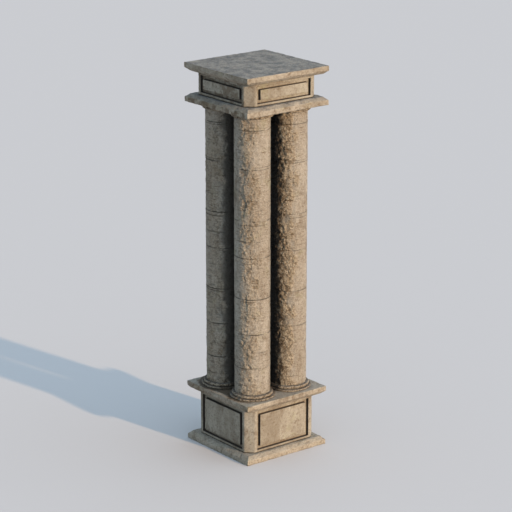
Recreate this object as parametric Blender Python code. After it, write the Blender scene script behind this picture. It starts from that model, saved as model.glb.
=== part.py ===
"""A clustered temple pillar of weathered tan stone.

Four round shafts stand on a square panelled pedestal and carry a square panelled capital block. Every
stone is its own closed solid. Lengths are metres, +Z is up, and the origin is the centre of the underside.
"""
import math

import bmesh
import bpy

# The whole pillar
HEIGHT = 8.0
JOINT = 0.0003                 # gap between two stones that touch

# The four square slabs: an upright edge, and a slope towards the block that the slab meets
SLAB_HALF = 1.0225
SLAB_EDGE = 0.098
SLAB_SLOPE = 0.070             # rise of the slope
SLAB_INSET = 0.080             # how far the slope draws in
SLAB_THICKNESS = SLAB_EDGE + SLAB_SLOPE

# Levels of the bedding planes, from the ground up
PLINTH_TOP = SLAB_THICKNESS
COLUMNS_BOTTOM = 1.2685
DIE_TOP = COLUMNS_BOTTOM - SLAB_THICKNESS
COLUMNS_TOP = 7.206
CAPITAL_SLAB_TOP = COLUMNS_TOP + SLAB_THICKNESS
CAPITAL_BLOCK_TOP = HEIGHT - SLAB_THICKNESS

# The pedestal die and the capital block: square in plan, corners cut off, a raised panel on each side
BLOCK_HALF = 0.888
CORNER_CUT = 0.158
STILE = 0.062                  # frame at the left and right of a panel
BOTTOM_RAIL = 0.056
TOP_RAIL = 0.053
GROOVE_WIDTH = 0.075
GROOVE_DEPTH = 0.060

# The four columns
SHAFT_RADIUS = 0.362
COLUMN_OFFSET = 0.472          # from the pillar's axis to a column's axis, along X and along Y
OUTER_RING_RADIUS = 0.463      # the ring that lies against a slab
INNER_RING_RADIUS = 0.423      # the smaller ring next to the shaft
FOOT_RINGS = (0.043, 0.064)    # heights of the outer and the inner ring at a column's foot
HEAD_RINGS = (0.043, 0.052)    # the same rings at its head
ARRIS = 0.012                  # worn edge at each drum joint
DRUM_JOINTS = (1.94, 2.66, 3.40, 4.26, 5.02, 6.08, 6.87)

# Facets
ROUND_SIDES = 24
RING_STEPS = 4
SMOOTH_ANGLE = math.radians(30)

# Stone colours, as linear red, green and blue
TAN = (0.300, 0.235, 0.165)
GREY_TAN = (0.225, 0.205, 0.175)
STONE_ROUGHNESS = 0.92

COLUMN_PLACES = {
    "front_left": (-1, -1),
    "front_right": (1, -1),
    "back_left": (-1, 1),
    "back_right": (1, 1),
}


def clear_scene():
    for obj in list(bpy.data.objects):
        bpy.data.objects.remove(obj, do_unlink=True)


def stone_material(name, colour):
    material = bpy.data.materials.new(name)
    material.use_nodes = True
    shader = material.node_tree.nodes["Principled BSDF"]
    shader.inputs["Base Color"].default_value = (*colour, 1.0)
    shader.inputs["Roughness"].default_value = STONE_ROUGHNESS
    shader.inputs["Metallic"].default_value = 0.0
    return material


def add_stone(name, bm, colour, location=(0.0, 0.0, 0.0)):
    """Turn a finished bmesh into a named object with a material of its own."""
    bmesh.ops.recalc_face_normals(bm, faces=bm.faces)
    mesh = bpy.data.meshes.new(name)
    bm.to_mesh(mesh)
    bm.free()
    stone = bpy.data.objects.new(name, mesh)
    stone.location = location
    stone.data.materials.append(stone_material(name, colour))
    bpy.context.collection.objects.link(stone)
    return stone


def loft(bm, loops):
    """Skin a stack of equal point loops and close it with a flat cap at each end."""
    rows = [[bm.verts.new(point) for point in loop] for loop in loops]
    count = len(rows[0])
    for low, high in zip(rows, rows[1:]):
        for i in range(count):
            j = (i + 1) % count
            bm.faces.new((low[i], low[j], high[j], high[i]))
    bm.faces.new(list(reversed(rows[0])))
    bm.faces.new(rows[-1])


def square_loop(half, z):
    return [(-half, -half, z), (half, -half, z), (half, half, z), (-half, half, z)]


def circle_loop(radius, z):
    turns = [2 * math.pi * i / ROUND_SIDES for i in range(ROUND_SIDES)]
    return [(radius * math.cos(turn), radius * math.sin(turn), z) for turn in turns]


def bed(level):
    """The underside of a stone: one joint above the stone that carries it, or on the ground."""
    return level + JOINT if level > 0 else 0.0


def make_slab(name, level, slope_on_top, colour):
    """A square slab whose slope faces up or down."""
    inner = SLAB_HALF - SLAB_INSET
    bottom, top = bed(level), level + SLAB_THICKNESS
    if slope_on_top:
        profile = [(SLAB_HALF, bottom), (SLAB_HALF, bottom + SLAB_EDGE), (inner, top)]
    else:
        profile = [(inner, bottom), (SLAB_HALF, bottom + SLAB_SLOPE), (SLAB_HALF, top)]
    bm = bmesh.new()
    loft(bm, [square_loop(half, z) for half, z in profile])
    return add_stone(name, bm, colour)


def panel_rings(bottom, top):
    """Nested rectangles of one panel, from the frame's edge in: half width, low z, high z and depth."""
    edge = BLOCK_HALF - CORNER_CUT
    opening = (edge - STILE, bottom + BOTTOM_RAIL, top - TOP_RAIL)
    field = (opening[0] - GROOVE_WIDTH, opening[1] + GROOVE_WIDTH, opening[2] - GROOVE_WIDTH)
    return [
        (edge, bottom, top, 0.0),
        (*opening, 0.0),
        (*opening, GROOVE_DEPTH),
        (*field, GROOVE_DEPTH),
        (*field, 0.0),
    ]


def add_panelled_side(bm, turn, rings):
    """One side of a block: frame, sunk groove and raised field, turned about Z to its place."""
    cos_turn, sin_turn = math.cos(turn), math.sin(turn)

    def place(x, z, depth):
        y = depth - BLOCK_HALF
        return bm.verts.new((x * cos_turn - y * sin_turn, x * sin_turn + y * cos_turn, z))

    rows = []
    for half, low, high, depth in rings:
        corners = ((-half, low), (half, low), (half, high), (-half, high))
        rows.append([place(x, z, depth) for x, z in corners])
    for outer, inner in zip(rows, rows[1:]):
        for i in range(4):
            j = (i + 1) % 4
            bm.faces.new((outer[i], outer[j], inner[j], inner[i]))
    bm.faces.new(rows[-1])
    return rows[0]


def make_panelled_block(name, level, top, colour):
    """A square block with cut corners and a framed, raised panel on each of its four sides."""
    bm = bmesh.new()
    rings = panel_rings(bed(level), top)
    frames = [add_panelled_side(bm, i * math.pi / 2, rings) for i in range(4)]
    for i, frame in enumerate(frames):
        following = frames[(i + 1) % 4]
        bm.faces.new((frame[1], following[0], following[3], frame[2]))
    bm.faces.new([frame[k] for frame in reversed(frames) for k in (1, 0)])
    bm.faces.new([frame[k] for frame in frames for k in (3, 2)])
    return add_stone(name, bm, colour)


def half_round(radius, low, high):
    """Profile points of a half-round ring that swells out to the radius, between two levels."""
    swell = (high - low) / 2
    middle = (high + low) / 2
    angles = [math.pi * i / RING_STEPS - math.pi / 2 for i in range(RING_STEPS + 1)]
    return [(radius - swell + swell * math.cos(a), middle + swell * math.sin(a)) for a in angles]


def ringed_profile(length, ring_heights):
    """The foot of a column: two half-round rings, then the shaft, rising from z = 0."""
    ledge = ring_heights[0]
    neck = ledge + ring_heights[1]
    profile = half_round(OUTER_RING_RADIUS, 0.0, ledge)
    profile += half_round(INNER_RING_RADIUS, ledge, neck)
    profile += [(SHAFT_RADIUS, neck), (SHAFT_RADIUS, length - ARRIS), (SHAFT_RADIUS - ARRIS, length)]
    return profile


def drum_profile(length):
    inner = SHAFT_RADIUS - ARRIS
    return [(inner, 0.0), (SHAFT_RADIUS, ARRIS), (SHAFT_RADIUS, length - ARRIS), (inner, length)]


def turned_stone(name, profile, centre, level, colour):
    """Turn a profile of radius and height about a column's axis."""
    bm = bmesh.new()
    loft(bm, [circle_loop(radius, z) for radius, z in profile])
    stone = add_stone(name, bm, colour, (*centre, bed(level)))
    stone.data.shade_smooth()
    stone.data.set_sharp_from_angle(angle=SMOOTH_ANGLE)
    return stone


def make_column(place, signs):
    """One column: a ringed base stone, a stack of drums and a ringed capital stone."""
    centre = (signs[0] * COLUMN_OFFSET, signs[1] * COLUMN_OFFSET)
    foot = ringed_profile(DRUM_JOINTS[0] - COLUMNS_BOTTOM - JOINT, FOOT_RINGS)
    turned_stone(f"base_{place}", foot, centre, COLUMNS_BOTTOM, TAN)
    for number, (low, high) in enumerate(zip(DRUM_JOINTS, DRUM_JOINTS[1:]), start=1):
        turned_stone(f"drum_{number}_{place}", drum_profile(high - low - JOINT), centre, low, TAN)
    head_length = COLUMNS_TOP - DRUM_JOINTS[-1] - JOINT
    head = [(radius, head_length - z) for radius, z in reversed(ringed_profile(head_length, HEAD_RINGS))]
    turned_stone(f"capital_{place}", head, centre, DRUM_JOINTS[-1], TAN)


def main():
    clear_scene()
    make_slab("plinth_slab", 0.0, True, GREY_TAN)
    make_panelled_block("pedestal_die", PLINTH_TOP, DIE_TOP, TAN)
    make_slab("pedestal_cap_slab", DIE_TOP, False, GREY_TAN)
    for place, signs in COLUMN_PLACES.items():
        make_column(place, signs)
    make_slab("capital_slab", COLUMNS_TOP, True, GREY_TAN)
    make_panelled_block("capital_block", CAPITAL_SLAB_TOP, CAPITAL_BLOCK_TOP, TAN)
    make_slab("top_slab", CAPITAL_BLOCK_TOP, False, GREY_TAN)


main()
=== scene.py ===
"""The finish of the clustered stone pillar: worn stone skins, a pale floor, a low warm sun and a cool sky.

Every stone of the frame is replaced by a fine mesh of the same form. Its surface is then worn away in code:
chipped arrises, lost flakes, crags, pits, cracks and scars. Numbers at each vertex say how hollow, broken,
pale and dirty the stone is there and where light and shade are painted on it, and the materials read them.
Lengths are metres and +Z is up.
"""
import math
from typing import NamedTuple

import bpy
import numpy as np
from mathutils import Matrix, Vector


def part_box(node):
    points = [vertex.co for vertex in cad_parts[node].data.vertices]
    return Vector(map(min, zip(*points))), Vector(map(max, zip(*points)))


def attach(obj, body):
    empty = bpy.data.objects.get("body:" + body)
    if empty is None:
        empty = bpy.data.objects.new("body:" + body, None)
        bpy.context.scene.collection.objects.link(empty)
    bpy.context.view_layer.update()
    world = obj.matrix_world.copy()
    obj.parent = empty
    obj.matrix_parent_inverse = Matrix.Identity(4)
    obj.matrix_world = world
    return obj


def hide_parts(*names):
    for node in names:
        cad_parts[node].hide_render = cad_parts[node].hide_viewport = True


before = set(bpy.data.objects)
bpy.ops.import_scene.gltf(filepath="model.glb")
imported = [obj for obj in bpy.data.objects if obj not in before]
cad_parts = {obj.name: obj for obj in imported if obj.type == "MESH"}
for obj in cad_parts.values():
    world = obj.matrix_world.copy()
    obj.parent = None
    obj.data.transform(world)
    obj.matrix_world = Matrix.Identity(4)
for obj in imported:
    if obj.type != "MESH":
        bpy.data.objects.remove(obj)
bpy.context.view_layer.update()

# Mesh spacing
SLAB_STEP = 0.021
BLOCK_STEP = 0.020
COLUMN_STEP = 0.0145           # up a column
ROUND_SIDES = 160              # facets round a column
FINE_SIDE = math.radians(-150)  # the way that their finest side faces
FINER_AHEAD = 0.3              # how much finer they are there, as a share
RING_STEPS = 8                 # facets up a half-round ring

# Details of the stones that the frame's boxes don't give
SLAB_SLOPE = 0.070             # rise of a slab's slope
SLAB_INSET = 0.080             # how far it draws in
CORNER_CUT = 0.158
STILE = 0.062                  # frame at the left and right of a panel
BOTTOM_RAIL = 0.056
TOP_RAIL = 0.053
GROOVE_WIDTH = 0.075
GROOVE_DEPTH = 0.060
INNER_RING_RADIUS = 0.423
FOOT_RINGS = (0.043, 0.064)    # heights of the outer and the inner ring
HEAD_RINGS = (0.043, 0.052)
NECK_RISE = 0.004              # from the inner ring to the plain shaft
COLUMN_OFFSET = 0.472          # from the pillar's axis to a column's axis, along X and along Y
DRUMS = 6                      # between a column's foot and its head
COLUMNS_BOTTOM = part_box("base_front_left")[0][2]
COLUMNS_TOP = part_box("capital_slab")[0][2]

# The slabs: name, whether the slope is on top, whether the underside shows, whether the top shows
SLABS = (
    ("plinth_slab", True, False, False),
    ("pedestal_cap_slab", False, False, True),
    ("capital_slab", True, True, False),
    ("top_slab", False, False, True),
)
BLOCKS = ("pedestal_die", "capital_block")

# Edges and beds
CORNER_STEP = 0.008            # from a slab's corner to the next grid line
DRUM_ROUND = 0.0015            # how round the arris at a drum joint is
GROOVE_ROUND = 0.004           # and one beside a panel's groove
GROOVE_CORNER = 0.0045         # how far the foot of a groove's wall reaches into the groove
ARRIS_REACH = 0.022            # how far from an arris its chips reach
RING_CLEARANCE = 0.002         # a surface further than this past the shaft's radius belongs to a ring
BED_INSET = 0.07               # how far in from the surface the fan that closes a turned stone starts
BED_PROUD = 0.0015             # how far a lump may stand above a bed
HIDDEN_BED_HALF = 0.72         # half width inside which a slab's hidden bed is a plain fan
BED_RELIEF = 0.3               # how much of a block's roughness the edges of its beds take
CUT_MARGIN = 0.001             # how far inside the edges of a cut corner its painted light starts
SAME_LEVEL = 1e-6

# How large the marks of wear are
FLAKE_SIZE = 0.30
WAVE_SIZE = 0.19
CRAG_SIZE = 0.075
PIT_SPACING = 0.055
PIT_BEND = 0.012               # how far pits are pushed out of round
CHIP_SIZE = 0.13

# Cracks right round the columns, at the heights where the picture shows them between the drum joints
CRACK_LEVELS = (1.578, 2.28, 3.355, 4.60, 4.94, 5.40, 6.125, 6.83)
CRACK_HALF_WIDTH = 0.007
CRACK_DEPTH = 0.003
CRACK_DRIFT = 0.006            # how far one wanders up and down

# A scar is a flake lost along an upright ragged line on a column's worst side
SCAR_DEPTH = 0.023
SCAR_WALL = 0.022              # how wide its wall is
SCAR_REACH = 0.11              # how far round the shaft the lost part goes
SCAR_WALL_SHADE = 0.6               # how dark the painted shade on its wall is
SCAR_WANDER = 0.07             # how far its line wanders
SCAR_RAGGED = 0.035            # and how ragged it is

# How broken the columns are
SOUND_RELIEF = 0.36            # roughness of the sound stone, as a share of the broken stone's
SOUND_LOOK = 0.50              # and how broken it looks
RING_RELIEF = 0.60             # how much of the shafts' roughness their rings take
RING_BROKEN = 0.80             # how broken the rings look
FOOT_DAMAGE = 0.45             # how much more of a shaft is broken just above its foot
FOOT_DAMAGE_HEIGHT = 0.22

# Dirt and painted shade on the columns
JOINT_GRIME = 0.90
JOINT_GRIME_REACH = 0.0075
CREASE_GRIME_AND_SHADE = 0.50            # grime and painted shade beside the rings
CREASE_GRIME_AND_SHADE_REACH = 0.007
CRACK_GRIME = 0.65
RING_GRIME = 0.55
SHELTER_PAINTED_SHADE = 0.90         # painted shade on the columns' inner sides
SHELTER_SHADE_EASED = 0.65               # how much of that painted shade broken stone loses, outside hollows and deep shelter
HEAD_GRIME_AND_SHADE = 0.40              # grime and painted shade at the very top of the shafts, under the slab
HEAD_GRIME_AND_SHADE_HEIGHT = 0.06
SHADE_SIDE_STAINS_AND_SHADE = 0.30            # stains and painted shade on the side that the sun never warms
SHADE_SIDE = math.radians(180)

# Dirt and painted shade on the square stones
BED_GRIME_AND_SHADE = 0.90               # grime and painted contact shade beside a block's beds
BED_GRIME_AND_SHADE_REACH = 0.011
FOOT_DIRT_AND_SHADE = 0.30               # dirt and painted shade round the feet of the columns
BETWEEN_DIRT_AND_SHADE = 0.20            # and between them
BETWEEN_COLUMNS = 0.92         # half width of the place that is between them
SLAB_DIRT_AND_SHADE_IN_SUN = 0.30        # how much of both lies on the sunny side
SLAB_PAINTED_SHADE_IN_SHADE = 2.10      # and how much more, as painted shade, on the other
SHADED_SIDE_STAINS_AND_SHADE = {                  # stains and painted shade on the side that the sun never warms
    "pedestal_die": 0.13,
    "pedestal_cap_slab": 0.26,
    "capital_slab": 0.42,
    "capital_block": 0.36,
    "top_slab": 0.20,
}

# Pale stone and painted light
CORNER_PAINTED_LIGHT = 0.14         # painted light on the cut corners of the blocks
# painted light on the lowest slab
PLINTH_PAINTED_LIGHT = 0.28
LEDGE_PALENESS = 0.25          # on the slab under the columns, whose top is dusted less


class Seed:
    """Which random pattern each use of noise draws. Its octaves take the numbers that follow."""
    # The five kinds of wear
    FLAKES = 11
    CRAGS = 21
    WAVES = 31
    PITS = 41
    CHIPS = 51
    # Cracks, scars, dirt and painted shade
    LINE_GAPS = 61
    CRACK_DRIFT = 71
    CRACK_GAPS = 72
    SOOT_AND_PAINTED_SHADE = 81
    BREAKAGE = 91
    FOOT_DIRT_AND_SHADE = 141
    SHADED_SIDE_STAINS_AND_SHADE = 151
    STAINS = 161
    RING_GRIME = 171
    HEAD_GRIME_AND_SHADE = 181
    SCAR_LINE = 191
    SCAR_WOBBLE = 195
    SCAR_GAPS = 197
    # Added to the five kinds of wear
    SLABS = 100                # once for the first slab, twice for the next, and so on
    BLOCKS = 600
    COLUMNS = 700


class Wear(NamedTuple):
    """How deep each kind of wear goes, in metres."""
    proud: float               # how far a lump may stand out past the frame's surface
    waves: float               # broad unevenness
    plates: float              # flakes lost from the old surface
    crags: float               # roughness where the surface is lost
    pits: float
    chips: float               # along arrises


SHAFT_WEAR = Wear(proud=0.012, waves=0.007, plates=0.010, crags=0.019, pits=0.007, chips=0.003)
SLAB_WEAR = Wear(proud=0.004, waves=0.004, plates=0.003, crags=0.005, pits=0.004, chips=0.012)
BLOCK_WEAR = Wear(proud=0.0015, waves=0.0015, plates=0.0, crags=0.0012, pits=0.0012, chips=0.0035)


class Column(NamedTuple):
    """How one column has weathered: sound stone, and broken stone where it faces its worst side."""
    worst: float               # the way that its worst side faces, in degrees from +X
    sound_until: float         # cosine of the turn away from there where the sound stone ends
    broken_from: float         # and where the stone is all broken
    ragged: float              # how ragged the edge between them is
    shows: float               # how much its broken side differs in colour
    joints: float              # how dark its joints and cracks are


COLUMNS = {
    "front_left": Column(worst=-144, sound_until=0.79, broken_from=1.00, ragged=0.26,
                         shows=0.45, joints=0.85),
    "front_right": Column(worst=-165, sound_until=0.50, broken_from=0.88, ragged=0.38,
                          shows=1.0, joints=0.65),
    "back_left": Column(worst=-165, sound_until=0.65, broken_from=1.10, ragged=0.40,
                        shows=0.35, joints=1.0),
    "back_right": Column(worst=-165, sound_until=0.45, broken_from=0.90, ragged=0.35,
                         shows=0.8, joints=0.8),
}


# Noise


def smoothstep(low, high, value):
    t = np.clip((value - low) / (high - low), 0.0, 1.0)
    return t * t * (3.0 - 2.0 * t)


def lattice_hash(cells, seed):
    """A repeatable whole random number for each whole-number lattice point."""
    x, y, z = (cells[:, i].astype(np.uint32) for i in range(3))
    h = x * np.uint32(0x8DA6B343) ^ y * np.uint32(0xD8163841) ^ z * np.uint32(0xCB1AB31F)
    h ^= np.uint32(seed * 0x9E3779B1 & 0xFFFFFFFF)
    h ^= h >> np.uint32(15)
    h *= np.uint32(0x85EBCA6B)
    h ^= h >> np.uint32(13)
    h *= np.uint32(0xC2B2AE35)
    return h ^ (h >> np.uint32(16))


def hash_parts(h):
    """Three numbers from -1 to 1 out of each hash."""
    parts = ((h >> np.uint32(shift)) & np.uint32(0x3FF) for shift in (0, 10, 20))
    return [part.astype(np.float32) / 511.5 - 1.0 for part in parts]


def gradient_noise(points, seed):
    """Gradient noise, about -1 to 1, with features one unit across."""
    cells = np.floor(points)
    inside = (points - cells).astype(np.float32)
    cells = cells.astype(np.int64)
    blend = inside ** 3 * (inside * (inside * 6.0 - 15.0) + 10.0)
    total = np.zeros(len(points), np.float32)
    for corner in np.ndindex(2, 2, 2):
        gradient = hash_parts(lattice_hash(cells + corner, seed))
        weight = np.ones(len(points), np.float32)
        slope = np.zeros(len(points), np.float32)
        for axis in range(3):
            weight *= blend[:, axis] if corner[axis] else 1.0 - blend[:, axis]
            slope += gradient[axis] * (inside[:, axis] - corner[axis])
        total += weight * slope
    return 1.4 * total


def fractal(points, size, octaves, seed, gain=0.5):
    """Several octaves of noise. The largest features are `size` metres across."""
    total = 0.0
    strength = 1.0
    for octave in range(octaves):
        total = total + strength * gradient_noise(points * (2.0 ** octave / size), seed + octave)
        strength *= gain
    return total


def cell_distance(points, size, seed):
    """Distance to the nearest scattered point, in units of `size`, and a random number of that point."""
    scaled = points / size
    home = np.floor(scaled).astype(np.int64)
    nearest = np.full(len(points), 9.0, np.float32)
    number = np.zeros(len(points), np.float32)
    for offset in np.ndindex(3, 3, 3):
        cells = home + np.array(offset) - 1
        h = lattice_hash(cells, seed)
        jitter = np.stack(hash_parts(h), axis=1) * 0.5 + 0.5
        gap = np.linalg.norm(cells + jitter - scaled, axis=1).astype(np.float32)
        closer = gap < nearest
        nearest = np.where(closer, gap, nearest)
        number = np.where(closer, (h >> np.uint32(22)).astype(np.float32) / 1023.0, number)
    return nearest, number


# Building closed skins


class Skin:
    """A closed mesh made of a stack of equal loops, with numbers at each vertex.

    arris is 1 on an outer edge, relief is how much of the rough surface a vertex takes, and dirt_and_shade
    is 1 in a crevice and carries painted shade as well as dirt. pale_and_painted_light is how bleached the
    stone is and carries painted light, and upright vertices move level. wear_away adds hollow, sunken and
    cracked, and broken, which is how rough the stone looks.
    """

    def __init__(self, loops, arris, relief, dirt_and_shade):
        self.points = loops.reshape(-1, 3)
        shape = loops.shape[:2]
        self.arris = np.broadcast_to(arris, shape).ravel().copy()
        self.relief = np.broadcast_to(relief, shape).ravel().copy()
        self.dirt_and_shade = np.broadcast_to(dirt_and_shade, shape).ravel().copy()
        self.pale_and_painted_light = np.zeros(len(self.points))
        self.upright = np.zeros(len(self.points), bool)
        index = np.arange(len(self.points)).reshape(shape)
        low, high = index[:-1], index[1:]
        quads = np.stack([low, np.roll(low, -1, 1), np.roll(high, -1, 1), high], axis=-1)
        self.faces = [quads.reshape(-1, 4)]
        self.first, self.last = index[0], index[-1]

    def add_points(self, points, relief):
        start = len(self.points)
        self.points = np.concatenate([self.points, points])
        zeros = np.zeros(len(points))
        self.arris = np.concatenate([self.arris, zeros])
        self.relief = np.concatenate([self.relief, zeros + relief])
        self.dirt_and_shade = np.concatenate([self.dirt_and_shade, zeros])
        self.pale_and_painted_light = np.concatenate([self.pale_and_painted_light, zeros])
        self.upright = np.concatenate([self.upright, zeros > 0])
        return start + np.arange(len(points))

    def close_flat(self, top):
        """Close one end with a fan, for a bed that nothing shows."""
        loop = self.last if top else self.first[::-1]
        hub = self.add_points(self.points[loop].mean(axis=0, keepdims=True), 0.0)[0]
        self.faces.append(np.stack([np.full(len(loop), hub), loop, np.roll(loop, -1)], axis=-1))

    def close_grid(self, top, marks, half, relief):
        """Close one end of a square stone with a grid whose lines meet the loop's points."""
        loop = self.last if top else self.first
        cells = len(marks) - 1
        grid = np.zeros((cells + 1, cells + 1), np.int64)
        grid[0, :cells], grid[:cells, cells] = loop[:cells], loop[cells:2 * cells]
        grid[cells, cells:0:-1], grid[cells:0:-1, 0] = loop[2 * cells:3 * cells], loop[3 * cells:]
        y, x = np.meshgrid(marks[1:-1] * half, marks[1:-1] * half, indexing="ij")
        z = np.full_like(x, self.points[loop, 2].mean())
        inner = self.add_points(np.stack([x, y, z], -1).reshape(-1, 3), relief)
        grid[1:-1, 1:-1] = inner.reshape(x.shape)
        quads = np.stack([grid[:-1, :-1], grid[:-1, 1:], grid[1:, 1:], grid[1:, :-1]], axis=-1)
        quads = quads.reshape(-1, 4)
        self.faces.append(quads if top else quads[:, ::-1])

    def normals(self):
        """Outward unit normals at the vertices, weighted by face area."""
        total = np.zeros_like(self.points)
        for faces in self.faces:
            corners = self.points[faces]
            across = np.cross(corners[:, 2] - corners[:, 0], corners[:, -1] - corners[:, 1])
            for corner in faces.T:
                for axis in range(3):
                    total[:, axis] += np.bincount(corner, across[:, axis], len(total))
        total[self.upright, 2] = 0.0
        return total / np.maximum(np.linalg.norm(total, axis=1, keepdims=True), 1e-12)


def sample_profile(corners, step):
    """Points along a profile of (size, height, arris) corners, no further apart than `step`.

    Returns the size, the height and the closeness to an arris of each point.
    """
    rows = []
    for (size_a, z_a, sharp_a), (size_b, z_b, sharp_b) in zip(corners, corners[1:]):
        length = math.hypot(size_b - size_a, z_b - z_a)
        parts = max(1, math.ceil(length / step))
        for i in range(parts):
            t = i / parts
            near = max(sharp_a * math.exp(-t * length / ARRIS_REACH),
                       sharp_b * math.exp(-(1 - t) * length / ARRIS_REACH))
            rows.append((size_a + t * (size_b - size_a), z_a + t * (z_b - z_a), near))
    rows.append(corners[-1])
    sizes, heights, arris = np.array(rows).T
    return sizes, heights, arris


def rounded(corners, radius):
    """Replace each sharp corner of a profile by three points of a small round."""
    out = [corners[0]]
    for before, here, after in zip(corners, corners[1:], corners[2:]):
        if here[2] < 1.0:
            out.append(here)
            continue
        ends = []
        for other in (before, after):
            length = math.hypot(other[0] - here[0], other[1] - here[1])
            reach = min(radius, 0.4 * length) / length
            ends.append((here[0] + reach * (other[0] - here[0]), here[1] + reach * (other[1] - here[1])))
        middle = tuple(0.5 * here[k] + 0.25 * (ends[0][k] + ends[1][k]) for k in (0, 1))
        out += [(*ends[0], 0.9), (*middle, 1.0), (*ends[1], 0.9)]
    out.append(corners[-1])
    return out


def half_round(radius, low, high):
    """Profile points of a half-round ring that swells out to the radius, between two levels."""
    swell = (high - low) / 2
    angles = [math.pi * i / RING_STEPS - math.pi / 2 for i in range(RING_STEPS + 1)]
    middle = (high + low) / 2
    return [(radius - swell + swell * math.cos(a), middle + swell * math.sin(a), 0.0) for a in angles]


# The forms of the stones


def box_of(node):
    low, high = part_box(node)
    return np.array(low), np.array(high)


def turned_skin(centre, profile, bottom, top, creases=()):
    """A turned stone from a profile that starts and ends on its flat beds. Creases are heights."""
    radii, heights, arris = sample_profile(profile, COLUMN_STEP)
    steps = 2 * math.pi * np.arange(ROUND_SIDES) / ROUND_SIDES
    turns = FINE_SIDE + steps - FINER_AHEAD * np.sin(steps)
    x = centre[0] + radii[:, None] * np.cos(turns)
    y = centre[1] + radii[:, None] * np.sin(turns)
    z = np.broadcast_to(heights[:, None], x.shape)
    on_bed = (np.abs(heights - bottom) < SAME_LEVEL) | (np.abs(heights - top) < SAME_LEVEL)
    shaft_radius = radii[~on_bed].min()
    on_ring = radii > shaft_radius + RING_CLEARANCE
    relief = np.where(on_bed, 0.0, np.where(on_ring, RING_RELIEF, 1.0))
    near_joint = np.minimum(heights - bottom, top - heights)
    dirt_and_shade = JOINT_GRIME * np.exp(-near_joint / JOINT_GRIME_REACH)
    # grime and painted shade in the creases beside the rings
    for crease in creases:
        near_crease = np.exp(-np.abs(heights - crease) / CREASE_GRIME_AND_SHADE_REACH)
        dirt_and_shade = np.maximum(dirt_and_shade, CREASE_GRIME_AND_SHADE * near_crease)
    skin = Skin(np.stack([x, y, z], -1), arris[:, None], relief[:, None], dirt_and_shade[:, None])
    skin.upright = np.repeat(~on_bed & (radii < shaft_radius + RING_CLEARANCE), ROUND_SIDES)
    skin.close_flat(False)
    skin.close_flat(True)
    return skin


def drum_skin(node):
    low, high = box_of(node)
    radius = (high[0] - low[0]) / 2
    inner = radius - BED_INSET
    marks = [z for level in CRACK_LEVELS if low[2] < level < high[2]
             for z in (level - CRACK_HALF_WIDTH, level, level + CRACK_HALF_WIDTH)]
    corners = [(inner, low[2], 0.0), (radius, low[2], 1.0), *[(radius, z, 0.0) for z in marks],
               (radius, high[2], 1.0), (inner, high[2], 0.0)]
    return turned_skin((low + high) / 2, rounded(corners, DRUM_ROUND), low[2], high[2])


def ringed_corners(shaft_radius, ring_radius, ring_heights, length):
    """Profile of a column foot: two half-round rings and a stretch of shaft, rising from z = 0."""
    ledge = ring_heights[0]
    neck = ledge + ring_heights[1]
    corners = [(ring_radius - BED_INSET, 0.0, 0.0)]
    corners += half_round(ring_radius, 0.0, ledge)
    corners += half_round(INNER_RING_RADIUS, ledge, neck)
    corners += [(shaft_radius, neck + NECK_RISE, 0.0)]
    corners += [(shaft_radius, length, 1.0), (shaft_radius - BED_INSET, length, 0.0)]
    return corners


def foot_skin(node, shaft_radius, upside_down):
    low, high = box_of(node)
    length = high[2] - low[2]
    ring_heights = HEAD_RINGS if upside_down else FOOT_RINGS
    corners = ringed_corners(shaft_radius, (high[0] - low[0]) / 2, ring_heights, length)
    corners = rounded(corners, DRUM_ROUND)
    creases = (0.0, ring_heights[0], sum(ring_heights))
    if upside_down:
        corners = [(r, high[2] - z, sharp) for r, z, sharp in reversed(corners)]
        creases = [high[2] - z for z in creases]
    else:
        corners = [(r, low[2] + z, sharp) for r, z, sharp in corners]
        creases = [low[2] + z for z in creases]
    return turned_skin((low + high) / 2, corners, low[2], high[2], creases)


def side_marks(half):
    """Places along a slab's side, from -1 to 1, with one more close to each corner."""
    cells = round(2 * half / SLAB_STEP)
    marks = np.linspace(-1.0, 1.0, cells + 1)
    extra = 1.0 - CORNER_STEP / half
    return np.sort(np.concatenate([marks, [-extra, extra]]))


def square_loops(sizes, heights, marks):
    """Stacked square loops, each starting at its (-, -) corner and running anticlockwise.

    Returns the loops, and how far each place along them is from a corner: 0 there and 1 halfway.
    """
    ones = np.ones(len(marks) - 1)
    forward, back = marks[:-1], -marks[:-1]
    x = np.concatenate([forward, ones, back, -ones])
    y = np.concatenate([-ones, forward, ones, back])
    z = np.broadcast_to(heights[:, None], (len(heights), len(x)))
    loops = np.stack([sizes[:, None] * x, sizes[:, None] * y, z], -1)
    return loops, 1.0 - np.abs(np.tile(forward, 4))


def slab_skin(node, slope_on_top, bottom_open, top_open):
    """A square slab. An open bed is one that shows, and gets a fine grid."""
    low, high = box_of(node)
    half = high[0]
    inner = half - SLAB_INSET
    corners = [(half, low[2], 1.0), (half, high[2] - SLAB_SLOPE, 0.8), (inner, high[2], 0.8)]
    if not slope_on_top:
        corners = [(inner, low[2], 0.8), (half, low[2] + SLAB_SLOPE, 0.8), (half, high[2], 1.0)]
    if not bottom_open:
        corners.insert(0, (HIDDEN_BED_HALF, low[2], 0.0))
    if not top_open:
        corners.append((HIDDEN_BED_HALF, high[2], 0.0))
    sizes, heights, arris = sample_profile(corners, SLAB_STEP)
    marks = side_marks(half)
    loops, to_corner = square_loops(sizes, heights, marks)
    at_corner = np.exp(-to_corner * half / ARRIS_REACH)
    near = np.maximum(arris[:, None], at_corner[None, :] * 0.9)
    relief = np.ones(len(sizes))
    relief[0] *= bottom_open
    relief[-1] *= top_open
    skin = Skin(loops, near, relief[:, None], np.zeros((1, 1)))
    for top, is_open in ((False, bottom_open), (True, top_open)):
        if is_open:
            skin.close_grid(top, marks, sizes[-1 if top else 0], 1.0)
        else:
            skin.close_flat(top)
    return skin


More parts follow.
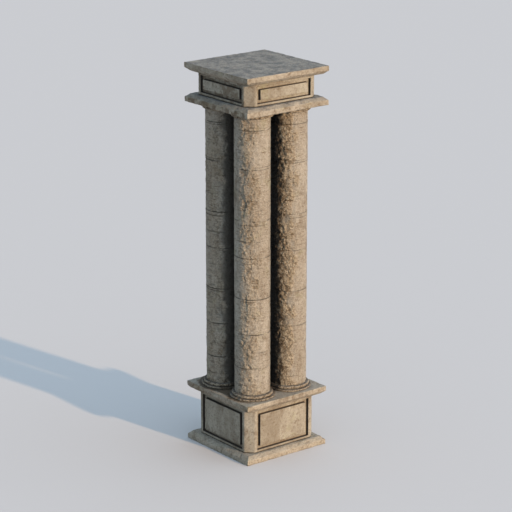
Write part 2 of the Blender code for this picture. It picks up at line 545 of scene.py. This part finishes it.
def groove_lines(low, high, margin_low, margin_high):
    """Grid lines across one side of a panelled block.

    Each line is (place, opening level, field level, arris, painted shade on the groove's walls).
    The levels run from 0 to 1 as a line passes from the frame into the opening, and from the groove
    on to the raised field.
    """
    reach = GROOVE_ROUND / GROOVE_DEPTH
    # Going in from the frame: distance, level, arris, painted shade
    wall = [
        (-GROOVE_ROUND, 0.0, 0.6, 0.0),
        (-0.3 * GROOVE_ROUND, 0.3 * reach, 1.0, 0.1),
        (0.0, reach, 1.0, 0.8),
        (0.0005, 0.55, 0.2, 1.0),
        (0.0010, 0.95, 0.0, 1.0),
        (GROOVE_CORNER, 1.0, 0.0, 0.6),
    ]
    open_low, open_high = low + margin_low, high - margin_high
    field_low, field_high = open_low + GROOVE_WIDTH, open_high - GROOVE_WIDTH
    lines = []

    def fill(start, end, opening, field):
        parts = max(1, math.ceil((end - start) / BLOCK_STEP))
        lines.extend((start + (end - start) * i / parts, opening, field, 0.0, 0.0) for i in range(1, parts))

    lines.append((low, 0.0, 0.0, 0.0, 0.0))
    fill(low, open_low - GROOVE_ROUND, 0.0, 0.0)
    lines += [(open_low + d, level, 0.0, sharp, groove_shade) for d, level, sharp, groove_shade in wall]
    fill(open_low + GROOVE_CORNER, field_low - GROOVE_CORNER, 1.0, 0.0)
    lines += [(field_low - d, 1.0, 1.0 - level, sharp, groove_shade) for d, level, sharp, groove_shade in reversed(wall)]
    fill(field_low + GROOVE_ROUND, field_high - GROOVE_ROUND, 1.0, 1.0)
    lines += [(field_high + d, 1.0, 1.0 - level, sharp, groove_shade) for d, level, sharp, groove_shade in wall]
    fill(field_high + GROOVE_CORNER, open_high - GROOVE_CORNER, 1.0, 0.0)
    lines += [(open_high - d, level, 0.0, sharp, groove_shade) for d, level, sharp, groove_shade in reversed(wall)]
    fill(open_high + GROOVE_ROUND, high, 0.0, 0.0)
    lines.append((high, 0.0, 0.0, 0.0, 0.0))
    return np.array(lines).T


def wall_weight(lines, opening, field):
    """How much of a wall that follows one line stands at each crossing line: (crossing, line).

    A wall at the opening's edge runs the whole opening, and one at the field's edge only along the field.
    """
    from_middle = np.abs(lines - lines.mean())
    outer = from_middle > from_middle.max() - STILE - GROOVE_WIDTH / 2
    return np.where(outer[None, :], opening[:, None], field[:, None])


def panelled_side(low, high, edge):
    """The grid lines of one side of a block, and its depth, arris and painted shade where they cross."""
    x, open_x, field_x, sharp_x, groove_shade_x = groove_lines(-edge, edge, STILE, STILE)
    z, open_z, field_z, sharp_z, groove_shade_z = groove_lines(low, high, BOTTOM_RAIL, TOP_RAIL)
    opening = np.minimum(open_z[:, None], open_x)
    field = np.minimum(field_z[:, None], field_x)
    across_x = wall_weight(x, open_z, field_z)
    across_z = wall_weight(z, open_x, field_x).T
    sharp = np.maximum(sharp_x * across_x, sharp_z[:, None] * across_z)
    groove_shade = np.maximum(groove_shade_x * across_x, groove_shade_z[:, None] * across_z)
    at_corner = np.exp(-(edge - np.abs(x)) / ARRIS_REACH)
    return x, z, GROOVE_DEPTH * (opening - field), np.maximum(sharp, at_corner), groove_shade


def block_skin(node):
    """A block with cut corners, and a groove round a raised field on each side."""
    low, high = box_of(node)
    half = high[0]
    edge = half - CORNER_CUT
    x, z, depth, sharp, groove_shade = panelled_side(low[2], high[2], edge)
    cut_length = CORNER_CUT * math.sqrt(2)
    cut_parts = round(cut_length / BLOCK_STEP)
    cut = np.arange(1, cut_parts) / cut_parts
    cut_sharp = np.exp(-np.minimum(cut, 1.0 - cut) * cut_length / ARRIS_REACH)

    def with_cut(flat, along_cut):
        """A side's grid of values, carried on across the cut corner at its right."""
        flat = np.broadcast_to(flat, depth.shape)
        return np.concatenate([flat, np.broadcast_to(along_cut, (len(z), len(cut)))], axis=1)

    side_x = with_cut(x, edge + cut * CORNER_CUT)
    side_y = with_cut(depth - half, -half + cut * CORNER_CUT)
    side_z = np.broadcast_to(z[:, None], side_x.shape)
    sides = []
    for turn in range(4):
        c, s = round(math.cos(turn * math.pi / 2)), round(math.sin(turn * math.pi / 2))
        sides.append(np.stack([c * side_x - s * side_y, s * side_x + c * side_y, side_z], -1))
    loops = np.concatenate(sides, axis=1)
    near_bed = np.minimum(z - low[2], high[2] - z)[:, None]
    arris = np.tile(with_cut(sharp, cut_sharp), (1, 4))
    arris = np.maximum(arris, 0.5 * np.exp(-near_bed / ARRIS_REACH))
    # painted shade on the walls of the grooves
    dirt_and_shade = np.tile(with_cut(groove_shade, 0.0), (1, 4))
    # grime and painted contact shade along the beds
    dirt_and_shade = np.maximum(dirt_and_shade, BED_GRIME_AND_SHADE * np.exp(-near_bed / BED_GRIME_AND_SHADE_REACH))
    skin = Skin(loops, arris, np.where(near_bed < SAME_LEVEL, BED_RELIEF, 1.0), dirt_and_shade)
    on_cut = np.abs(np.abs(loops[..., 0]) - np.abs(loops[..., 1])) < CORNER_CUT - CUT_MARGIN
    # painted light on the cut corners
    skin.pale_and_painted_light = CORNER_PAINTED_LIGHT * on_cut.ravel()
    skin.close_flat(False)
    skin.close_flat(True)
    return skin


# Wear


def from_axis(points):
    """The way across, along X and Y, to each point from the axis of the column that it belongs to."""
    return points[:, :2] - COLUMN_OFFSET * np.sign(points[:, :2])


def facing(points, azimuth):
    """1 where a column's surface faces an azimuth, -1 where it faces away."""
    outward = from_axis(points)
    return np.cos(np.arctan2(outward[:, 1], outward[:, 0]) - azimuth)


def near_foot(points):
    """1 at the foot of a column, fading upwards."""
    return np.exp(-(points[:, 2] - COLUMNS_BOTTOM) / FOOT_DAMAGE_HEIGHT)


def breakage(points, column):
    """How broken a column's surface is at each point: 1 on its worst side and in patches round its foot."""
    ragged = column.ragged * fractal(points * (1.0, 1.0, 0.6), 0.22, 3, Seed.BREAKAGE)
    near_worst = facing(points, math.radians(column.worst)) + ragged + FOOT_DAMAGE * near_foot(points)
    return smoothstep(column.sound_until, column.broken_from, near_worst)


def shelter(points, broken):
    """1 on surfaces of the columns that face the middle of the cluster, where the painted shade lies.

    Its edge is soft on sound stone, and harder and ragged on broken stone.
    """
    outward = from_axis(points)
    outward /= np.linalg.norm(outward, axis=1, keepdims=True)
    inward = -(outward * np.sign(points[:, :2])).sum(axis=1) / math.sqrt(2)
    ragged = (0.07 + 0.33 * broken) * fractal(points, 0.11, 3, Seed.SOOT_AND_PAINTED_SHADE, 0.7)
    return smoothstep(-0.68 + 0.63 * broken, 1.02 - 0.27 * broken, inward + ragged)


def crack_depth(points):
    """How deep the cracks round the columns go at each point. They fade in and out along their length."""
    drift = CRACK_DRIFT * gradient_noise(points * 2.5, Seed.CRACK_DRIFT)
    depth = np.zeros(len(points))
    for number, level in enumerate(CRACK_LEVELS):
        away = np.abs(points[:, 2] + drift - level)
        gaps = gradient_noise(points * (2.2, 2.2, 0.1) + number * 7.0, Seed.CRACK_GAPS)
        inside = 1.0 - smoothstep(0.0, 2 * CRACK_HALF_WIDTH, away)
        depth = np.maximum(depth, CRACK_DEPTH * smoothstep(-0.35, 0.25, gaps) * inside)
    return depth


def scar(points, column):
    """How deep a scar is at each point as a share of its depth, and how near the point is to its wall."""
    outward = from_axis(points)
    turn = np.arctan2(outward[:, 1], outward[:, 0]) - math.radians(column.worst)
    turn = (turn + math.pi) % (2 * math.pi) - math.pi
    radius = np.linalg.norm(outward, axis=1)
    line = SCAR_WANDER * fractal(points * (0.2, 0.2, 1.0), 0.60, 2, Seed.SCAR_LINE)
    wobble = SCAR_RAGGED * fractal(points, 0.11, 2, Seed.SCAR_WOBBLE)
    past = line + wobble - turn * radius
    side = smoothstep(0.0, SCAR_WALL, past)
    present = smoothstep(-0.05, 0.30, gradient_noise(points * (0.3, 0.3, 1.7), Seed.SCAR_GAPS))
    return present * side * np.exp(-np.maximum(past, 0.0) / SCAR_REACH), present * 4.0 * side * (1.0 - side)


def wear_away(skin, wear, seed, column=None):
    """Move the skin's points along their normals, and note how hollow, sunken and cracked they are."""
    points, normals = skin.points, skin.normals()
    flakes = fractal(points * (1.0, 1.0, 0.7), FLAKE_SIZE, 4, seed + Seed.FLAKES, 0.6)
    lost = smoothstep(-0.08, 0.08, flakes)
    wave = fractal(points * (1.0, 1.0, 0.35), WAVE_SIZE, 2, seed + Seed.WAVES)
    rough = fractal(points, CRAG_SIZE, 3, seed + Seed.CRAGS, 0.75)
    crag = (0.5 + 0.5 * lost) * rough
    distance, number = cell_distance(points + PIT_BEND * rough[:, None], PIT_SPACING, seed + Seed.PITS)
    pitted = (1.0 - smoothstep(0.12, 0.42, distance)) * (number < 0.10 + 0.35 * lost)
    cracked, scarred, scar_wall = np.zeros((3, len(points)))
    if column:
        cracked = crack_depth(points)
        scarred, scar_wall = scar(points, column)
    chip = smoothstep(0.05, 0.65, fractal(points, CHIP_SIZE, 3, seed + Seed.CHIPS))
    depth = wear.waves * wave + wear.plates * (lost - 0.5) + wear.crags * crag + wear.pits * pitted
    depth = depth + cracked + SCAR_DEPTH * scarred
    chipped = wear.chips * skin.arris * (0.04 + chip) * (0.3 + 0.7 * skin.relief)
    depth = depth * skin.relief + chipped
    skin.points = points - normals * np.maximum(depth, -wear.proud)[:, None]
    skin.points[:, 2] = np.clip(skin.points[:, 2], points[:, 2].min(), points[:, 2].max() + BED_PROUD)
    hollow = smoothstep(0.10, 0.8, crag) * wear.crags / (wear.crags + 0.002) + 0.8 * pitted
    # painted shade on a scar's wall is counted in with the hollows
    hollow = hollow + cracked / CRACK_DEPTH + SCAR_WALL_SHADE * scar_wall
    skin.hollow = np.clip(hollow, 0.0, 1.0) * skin.relief
    skin.broken = skin.relief
    skin.sunken = smoothstep(-0.35, 0.35, crag)
    skin.cracked = cracked / CRACK_DEPTH


# Dirt and painted shade


def foot_dirt_and_shade(points):
    """Dirt and painted shade on a slab round the feet of the columns and between them,
    mostly away from the sun.
    """
    away = np.linalg.norm(from_axis(points), axis=1)
    patches = fractal(points, 0.20, 4, Seed.FOOT_DIRT_AND_SHADE, 0.7)
    near = FOOT_DIRT_AND_SHADE * smoothstep(0.60, 0.47, away + 0.06 * patches)
    between = BETWEEN_DIRT_AND_SHADE * smoothstep(0.62, 0.40, np.abs(points[:, :2]).min(axis=1) + 0.10 * patches)
    inside = np.abs(points[:, :2]).max(axis=1) < BETWEEN_COLUMNS
    shaded_side = SLAB_DIRT_AND_SHADE_IN_SUN + SLAB_PAINTED_SHADE_IN_SHADE * smoothstep(-0.7, 0.7, points[:, 1] - points[:, 0])
    return shaded_side * np.maximum(near, between * inside)


def shaded_side_stains_and_shade(skin, node):
    """Stains and painted shade in patches on the side of a square stone that the sun never warms."""
    patches = fractal(skin.points * (1.0, 1.0, 0.8), 0.17, 4, Seed.SHADED_SIDE_STAINS_AND_SHADE, 0.75)
    away = smoothstep(0.5, 0.9, -skin.normals()[:, 0])
    return SHADED_SIDE_STAINS_AND_SHADE.get(node, 0.0) * smoothstep(-0.55, 0.45, patches) * away


def column_dirt_and_shade(skin, column, broken, on_ring):
    """Grime in a column's joints, cracks and rings, grime and painted shade in its creases and at its head,
    painted shade in its shelter, and stains and painted shade on its shaded side.
    """
    points = skin.points
    gaps = fractal(points * (1.0, 1.0, 3.0), 0.3, 3, Seed.LINE_GAPS, 0.7)
    lines = np.maximum(skin.dirt_and_shade, CRACK_GRIME * skin.cracked) * column.joints * smoothstep(-0.9, 0.2, gaps)
    deep = shelter(points, broken)
    held = 1.0 - SHELTER_SHADE_EASED * broken * (1.0 - np.maximum(skin.sunken, deep ** 2))
    # painted shade in the shelter between the columns
    shelter_shade = SHELTER_PAINTED_SHADE * deep * held
    rings = RING_GRIME * on_ring * smoothstep(0.0, 0.55, fractal(points, 0.04, 2, Seed.RING_GRIME, 0.8))
    # grime and painted shade in patches just under the capital slab
    patches = smoothstep(-0.5, 0.4, fractal(points, 0.09, 3, Seed.HEAD_GRIME_AND_SHADE, 0.7))
    head = HEAD_GRIME_AND_SHADE * patches * np.exp(-(COLUMNS_TOP - points[:, 2]) / HEAD_GRIME_AND_SHADE_HEIGHT)
    # stains and painted shade on the shaded side
    marks = smoothstep(0.10, 0.60, fractal(points * (1.0, 1.0, 1.8), 0.12, 4, Seed.STAINS, 0.75))
    stains = SHADE_SIDE_STAINS_AND_SHADE * marks * smoothstep(0.25, 0.80, facing(points, SHADE_SIDE))
    return np.max([lines, shelter_shade, rings, head, stains], axis=0)


# Materials


def add_node(tree, kind, inputs=(), **settings):
    """Make a node, set its properties, and link or set its inputs by name or number."""
    node = tree.nodes.new(kind)
    for name, value in settings.items():
        setattr(node, name, value)
    for key, value in dict(inputs).items():
        if isinstance(value, bpy.types.NodeSocket):
            tree.links.new(value, node.inputs[key])
        else:
            node.inputs[key].default_value = value
    return node


def noise_value(tree, place, scale, detail=4.0, roughness=0.6, distortion=0.0):
    inputs = {"Vector": place, "Scale": scale, "Detail": detail}
    inputs |= {"Roughness": roughness, "Distortion": distortion}
    return add_node(tree, "ShaderNodeTexNoise", inputs).outputs["Fac"]


def remap(tree, value, from_low, from_high, to_low=0.0, to_high=1.0):
    """Carry a value smoothly from one range to another. It stays inside the second."""
    inputs = {"Value": value, "From Min": from_low, "From Max": from_high}
    inputs |= {"To Min": to_low, "To Max": to_high}
    return add_node(tree, "ShaderNodeMapRange", inputs, interpolation_type="SMOOTHSTEP").outputs["Result"]


def mix_colour(tree, factor, first, second):
    return add_node(tree, "ShaderNodeMix", {0: factor, 6: first, 7: second}, data_type="RGBA").outputs[2]


def math_value(tree, operation, first, second):
    return add_node(tree, "ShaderNodeMath", {0: first, 1: second}, operation=operation).outputs[0]


def product(tree, first, *others):
    for other in others:
        first = math_value(tree, "MULTIPLY", first, other)
    return first


def attribute_value(tree, name):
    return add_node(tree, "ShaderNodeAttribute", attribute_name=name).outputs["Fac"]


def stretched(tree, place, up):
    """The place with its height scaled, which flattens or draws out what is made from it."""
    return add_node(tree, "ShaderNodeMapping", {"Vector": place, "Scale": (1.0, 1.0, up)}).outputs[0]


class Finish(NamedTuple):
    """What one kind of stone looks like. Colours are linear."""
    light: tuple
    mid: tuple
    dark: tuple
    streak: float              # how far its stains are drawn out downwards
    stains: float              # how strong they are
    contrast: float            # how strong its grain and its dark hollows are
    bump: float                # depth of the finest relief, in metres
    lumpy: float               # how granular the relief is
    lines: float               # how dark its bedding lines and its fine wandering lines are


SHAFT_FINISH = Finish(light=(0.324, 0.295, 0.242), mid=(0.270, 0.236, 0.185), dark=(0.120, 0.098, 0.070),
                      streak=2.2, stains=0.42, contrast=0.75, bump=0.05, lumpy=0.6, lines=0.72)
SLAB_FINISH = Finish(light=(0.298, 0.272, 0.223), mid=(0.222, 0.197, 0.156), dark=(0.095, 0.082, 0.062),
                     streak=1.0, stains=0.62, contrast=1.15, bump=0.018, lumpy=0.12, lines=0.26)
BLOCK_FINISH = Finish(light=(0.282, 0.262, 0.211), mid=(0.188, 0.163, 0.123), dark=(0.095, 0.077, 0.055),
                      streak=2.2, stains=0.50, contrast=1.15, bump=0.010, lumpy=0.0, lines=0.2)

# Linear colours that the finishes share
BROWN = (0.080, 0.047, 0.019)
LICHEN = (0.215, 0.205, 0.115)
EXPOSED_AND_PAINTED_LIGHT = (0.425, 0.345, 0.233)  # freshly broken stone, also painted lighter where the sun grazes the broken side
# pale stone, and painted light on cut corners and the lowest slab
PALE_AND_PAINTED_LIGHT = (0.395, 0.366, 0.298)
FRINGE = (0.078, 0.046, 0.019)  # thin dirt and painted shade on broken stone
GREY_FRINGE = (0.062, 0.057, 0.046)  # and on sound stone
# the darkest dirt and painted shade
SOOT_AND_PAINTED_SHADE = (0.030, 0.024, 0.018)
COOL_DUST = (0.090, 0.090, 0.087)
WARM_DUST = (0.204, 0.191, 0.165)
LICHEN_COVER = 0.4

# Noise scales: a larger one gives smaller marks
BLOTCHES = 1.9
LICHENS = 2.7
DUST_MOTTLE = 4.4
SPOTS = 4.5
BEDS = 5.0
BED_FLATTENING = 9.0           # how much wider than high the beds are
CREVICE_PATCHES = 6.0
WORMS = 11.0                   # fine wandering lines
LUMPS = 19.0
LUMP_BEND = 0.02               # how far the lumps are pushed out of shape
GRAIN = 21.0
FLAKING = 26.0
DUST_FLECKS = 34.0
SPECKS = 95.0


def opaque(colour):
    return (*colour, 1.0)


def base_colour(tree, place, finish, grain, lumps, beds, rough_here):
    """The stone's colour, with its stains and brown in its hollows and between its grains, painted light on
    pale and freshly broken stone, and painted shade on scar walls.
    """
    drawn = stretched(tree, place, 1.0 / finish.streak)
    blotches = noise_value(tree, drawn, BLOTCHES, 5.0, 0.62, 0.4)
    lichen = noise_value(tree, place, LICHENS, 5.0, 0.65, 0.3)
    specks = noise_value(tree, place, SPECKS, 3.0, 0.6)
    spots = noise_value(tree, drawn, SPOTS, 5.0, 0.65, 0.8)
    patches = noise_value(tree, place, CREVICE_PATCHES, 3.0)
    crevices = product(tree, remap(tree, lumps, 0.46, 0.72), rough_here, remap(tree, patches, 0.38, 0.58))
    worms = noise_value(tree, place, WORMS, 3.0, 0.55, 1.2)
    from_line = math_value(tree, "ABSOLUTE", math_value(tree, "SUBTRACT", worms, 0.5), 0.0)
    on_line = remap(tree, from_line, 0.035, 0.008)
    layers = (
        (remap(tree, blotches, 0.36, 0.62), finish.light),
        (remap(tree, lichen, 0.54, 0.70, 0.0, LICHEN_COVER), LICHEN),
        (attribute_value(tree, "pale_and_painted_light"), PALE_AND_PAINTED_LIGHT),
        (remap(tree, grain, 0.50, 0.30, 0.0, 0.55 * finish.contrast), finish.dark),
        (remap(tree, specks, 0.62, 0.74, 0.0, 0.3 * finish.contrast), finish.light),
        (remap(tree, spots, 0.52, 0.68, 0.0, finish.stains), BROWN),
        (product(tree, rough_here, 1.1 * finish.lumpy), EXPOSED_AND_PAINTED_LIGHT),
        (product(tree, crevices, 0.95 * finish.lumpy), BROWN),
        (remap(tree, beds, 0.44, 0.34, 0.0, finish.lines), BROWN),
        (product(tree, on_line, remap(tree, rough_here, 0.0, 1.0, 0.5, 1.0), 1.1 * finish.lines), BROWN),
        (product(tree, attribute_value(tree, "hollow"), 0.6 * finish.contrast), BROWN),
    )
    colour = opaque(finish.mid)
    for cover, layer in layers:
        colour = mix_colour(tree, cover, colour, opaque(layer))
    return colour


def dusted(tree, place, colour, grain):
    """Cover what faces up with mottled grey dust. Pale stone, and stone with painted light, holds less of
    it.
    """
    mottle = noise_value(tree, place, DUST_MOTTLE, 8.0, 0.80, 0.1)
    flecks = noise_value(tree, place, DUST_FLECKS, 3.0, 0.6, 0.5)
    dust = mix_colour(tree, remap(tree, mottle, 0.40, 0.60), opaque(COOL_DUST), opaque(WARM_DUST))
    dust = mix_colour(tree, remap(tree, flecks, 0.58, 0.68, 0.0, 0.6), dust, opaque(BROWN))
    normal = add_node(tree, "ShaderNodeNewGeometry").outputs["Normal"]
    up = add_node(tree, "ShaderNodeSeparateXYZ", {0: normal}).outputs["Z"]
    caught = remap(tree, grain, 0.25, 0.55, 0.75, 1.0)
    held = remap(tree, attribute_value(tree, "pale_and_painted_light"), 0.0, 0.25, 1.0, 0.45)
    return mix_colour(tree, product(tree, remap(tree, up, 0.55, 0.95), caught, held), colour, dust)


def dirtied_and_shaded(tree, colour, rough_here):
    """Cover dirty and shaded stone with a thin fringe of dirt and painted shade, and the darkest with
    soot-black dirt and painted shade.
    """
    dirt_and_shade = attribute_value(tree, "dirt_and_shade")
    fringe = mix_colour(tree, rough_here, opaque(GREY_FRINGE), opaque(FRINGE))
    colour = mix_colour(tree, remap(tree, dirt_and_shade, 0.0, 0.6, 0.0, 0.9), colour, fringe)
    return mix_colour(tree, remap(tree, dirt_and_shade, 0.3, 0.95), colour, opaque(SOOT_AND_PAINTED_SHADE))


def stone_material(name, finish):
    """Weathered stone, steered by the numbers hollow, broken, pale_and_painted_light and dirt_and_shade of
    a skin's vertices.
    """
    material = bpy.data.materials.new(name)
    material.use_nodes = True
    tree = material.node_tree
    shader = tree.nodes["Principled BSDF"]
    place = add_node(tree, "ShaderNodeTexCoord").outputs["Object"]
    grain = noise_value(tree, place, GRAIN, 6.0, 0.72)
    flaked = noise_value(tree, place, FLAKING, 4.0, 0.68, 0.4)
    beds = noise_value(tree, stretched(tree, place, BED_FLATTENING), BEDS, 4.0, 0.7, 0.3)
    bend = add_node(tree, "ShaderNodeVectorMath", {0: flaked, 1: (LUMP_BEND,) * 3}, operation="MULTIPLY")
    bent = add_node(tree, "ShaderNodeVectorMath", {0: place, 1: bend.outputs[0]}, operation="ADD")
    lumps = add_node(tree, "ShaderNodeTexVoronoi", {"Vector": bent.outputs[0], "Scale": LUMPS})
    lumps = lumps.outputs["Distance"]
    broken = attribute_value(tree, "broken")
    rough_here = remap(tree, broken, 0.5, 1.0)

    colour = base_colour(tree, place, finish, grain, lumps, beds, rough_here)
    colour = dirtied_and_shaded(tree, dusted(tree, place, colour, grain), rough_here)
    tree.links.new(colour, shader.inputs["Base Color"])
    tree.links.new(remap(tree, grain, 0.3, 0.7, 0.96, 0.84), shader.inputs["Roughness"])
    shader.inputs["Specular IOR Level"].default_value = 0.4

    height = math_value(tree, "ADD", grain, product(tree, flaked, 1.2))
    height = math_value(tree, "ADD", height, product(tree, beds, 0.9))
    gaps = product(tree, lumps, rough_here, 0.5 * finish.lumpy)
    height = product(tree, math_value(tree, "SUBTRACT", height, gaps), broken)
    bumps = add_node(tree, "ShaderNodeBump", {"Height": height, "Strength": 1.0, "Distance": finish.bump})
    tree.links.new(bumps.outputs["Normal"], shader.inputs["Normal"])
    return material


# Pieces


def add_piece(node, skin, material):
    """Make a worn skin an object that stands for a node of the frame."""
    name = f"worn_{node}"
    mesh = bpy.data.meshes.new(name)
    mesh.from_pydata(skin.points.tolist(), [], [face for faces in skin.faces for face in faces.tolist()])
    mesh.shade_smooth()
    values = {"hollow": skin.hollow, "broken": skin.broken, "pale_and_painted_light": skin.pale_and_painted_light, "dirt_and_shade": skin.dirt_and_shade}
    for key, value in values.items():
        mesh.attributes.new(key, "FLOAT", "POINT").data.foreach_set("value", value.astype(np.float32))
    mesh.materials.append(material)
    piece = bpy.data.objects.new(name, mesh)
    bpy.context.collection.objects.link(piece)
    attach(piece, "root")
    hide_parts(node)


def make_slabs(material):
    for number, (node, slope_on_top, bottom_open, top_open) in enumerate(SLABS):
        skin = slab_skin(node, slope_on_top, bottom_open, top_open)
        if node == "pedestal_cap_slab":
            on_top = skin.points[:, 2] > skin.points[:, 2].max() - SAME_LEVEL
            # dirt and painted shade round the feet, on the slab's top
            skin.dirt_and_shade = np.maximum(skin.dirt_and_shade, on_top * foot_dirt_and_shade(skin.points))
            skin.pale_and_painted_light += LEDGE_PALENESS * on_top
        if node == "plinth_slab":
            # painted light on the plinth
            skin.pale_and_painted_light += PLINTH_PAINTED_LIGHT
        # stains and painted shade on the side away from the sun
        skin.dirt_and_shade = np.maximum(skin.dirt_and_shade, shaded_side_stains_and_shade(skin, node))
        wear_away(skin, SLAB_WEAR, Seed.SLABS * (number + 1))
        add_piece(node, skin, material)


def make_blocks(material):
    for node in BLOCKS:
        skin = block_skin(node)
        # stains and painted shade on the side away from the sun
        skin.dirt_and_shade = np.maximum(skin.dirt_and_shade, shaded_side_stains_and_shade(skin, node))
        wear_away(skin, BLOCK_WEAR, Seed.BLOCKS)
        add_piece(node, skin, material)


def column_skins(place, shaft_radius):
    """The skin of each stone of a column, by node."""
    foot, head = f"base_{place}", f"capital_{place}"
    skins = {foot: foot_skin(foot, shaft_radius, False)}
    for number in range(1, DRUMS + 1):
        node = f"drum_{number}_{place}"
        skins[node] = drum_skin(node)
    skins[head] = foot_skin(head, shaft_radius, True)
    return skins


def make_columns(material):
    low, high = box_of("drum_1_front_left")
    shaft_radius = (high[0] - low[0]) / 2
    for place, column in COLUMNS.items():
        for node, skin in column_skins(place, shaft_radius).items():
            on_ring = np.linalg.norm(from_axis(skin.points), axis=1) > shaft_radius + RING_CLEARANCE
            broken = breakage(skin.points, column)
            skin.relief *= SOUND_RELIEF + (1.0 - SOUND_RELIEF) * broken
            wear_away(skin, SHAFT_WEAR, Seed.COLUMNS, column)
            skin.dirt_and_shade = column_dirt_and_shade(skin, column, broken, on_ring)
            shows = np.maximum(column.shows, near_foot(skin.points))
            look = SOUND_LOOK + (1.0 - SOUND_LOOK) * broken * shows
            skin.broken = np.where(on_ring, RING_BROKEN, look)
            add_piece(node, skin, material)


# The setting. Azimuths are degrees from +X

CAMERA_AZIMUTH = -128.137      # the way from the pillar to the camera, as the picture sees it
CAMERA_ELEVATION = 16.811
CAMERA_DISTANCE = 45.415
CAMERA_TARGET = Vector((-0.005, 0.004, 4.018))
LENS_MM = 156.93
SENSOR_MM = 36.0
SUN_AZIMUTH = -79.7            # the way that the floor shadow points back to
SUN_ELEVATION = 15.3
SUN_STRENGTH = 5.3
SUN_COLOUR = (1.0, 0.686, 0.41)
SUN_WIDTH = math.radians(1.5)
SKY_COLOUR = (0.79, 0.985, 1.185)
SKY_STRENGTHS = (0.45, 1.55)   # opposite its bright side, and there
BRIGHT_SIDE = (0.75, -0.66, 0.25)
FLOOR_HALF = 400.0
FLOOR_COLOUR = (0.454, 0.438, 0.431)


def direction(azimuth, elevation):
    a, e = math.radians(azimuth), math.radians(elevation)
    return Vector((math.cos(a) * math.cos(e), math.sin(a) * math.cos(e), math.sin(e)))


def add_aimed(name, data, aim):
    """Add a camera or light that looks along a direction."""
    thing = bpy.data.objects.new(name, data)
    thing.rotation_mode = "QUATERNION"
    thing.rotation_quaternion = aim.to_track_quat("-Z", "Y")
    bpy.context.collection.objects.link(thing)
    return thing


def make_camera():
    data = bpy.data.cameras.new("camera")
    data.lens = LENS_MM
    data.sensor_width = SENSOR_MM
    data.clip_end = 500.0
    back = direction(CAMERA_AZIMUTH, CAMERA_ELEVATION)
    camera = add_aimed("camera", data, -back)
    camera.location = CAMERA_TARGET + back * CAMERA_DISTANCE
    bpy.context.scene.camera = camera


def make_floor():
    mesh = bpy.data.meshes.new("floor")
    corners = [(x * FLOOR_HALF, y * FLOOR_HALF, 0.0) for x, y in ((-1, -1), (1, -1), (1, 1), (-1, 1))]
    mesh.from_pydata(corners, [], [(0, 1, 2, 3)])
    material = bpy.data.materials.new("pale_floor")
    material.use_nodes = True
    shader = material.node_tree.nodes["Principled BSDF"]
    shader.inputs["Base Color"].default_value = opaque(FLOOR_COLOUR)
    shader.inputs["Roughness"].default_value = 0.95
    shader.inputs["Specular IOR Level"].default_value = 0.0
    mesh.materials.append(material)
    floor = bpy.data.objects.new("floor", mesh)
    bpy.context.collection.objects.link(floor)


def make_sun():
    data = bpy.data.lights.new("sun", "SUN")
    data.energy = SUN_STRENGTH
    data.color = SUN_COLOUR
    data.angle = SUN_WIDTH
    add_aimed("sun", data, -direction(SUN_AZIMUTH, SUN_ELEVATION))


def make_sky():
    """A soft cool dome, brighter on one side."""
    world = bpy.data.worlds.new("sky")
    bpy.context.scene.world = world
    world.use_nodes = True
    tree = world.node_tree
    towards = add_node(tree, "ShaderNodeTexCoord").outputs["Generated"]
    along = add_node(tree, "ShaderNodeVectorMath", {0: towards, 1: BRIGHT_SIDE}, operation="DOT_PRODUCT")
    inputs = {"Value": along.outputs["Value"], "From Min": -1.0, "From Max": 1.0}
    inputs |= {"To Min": SKY_STRENGTHS[0], "To Max": SKY_STRENGTHS[1]}
    strength = add_node(tree, "ShaderNodeMapRange", inputs)
    background = tree.nodes["Background"]
    background.inputs["Color"].default_value = opaque(SKY_COLOUR)
    tree.links.new(strength.outputs["Result"], background.inputs["Strength"])


make_camera()
make_floor()
make_sun()
make_sky()
bpy.context.scene.view_settings.view_transform = "Standard"
make_slabs(stone_material("worn_slab_stone", SLAB_FINISH))
make_blocks(stone_material("panel_stone", BLOCK_FINISH))
make_columns(stone_material("worn_shaft_stone", SHAFT_FINISH))

bpy.context.view_layer.update()
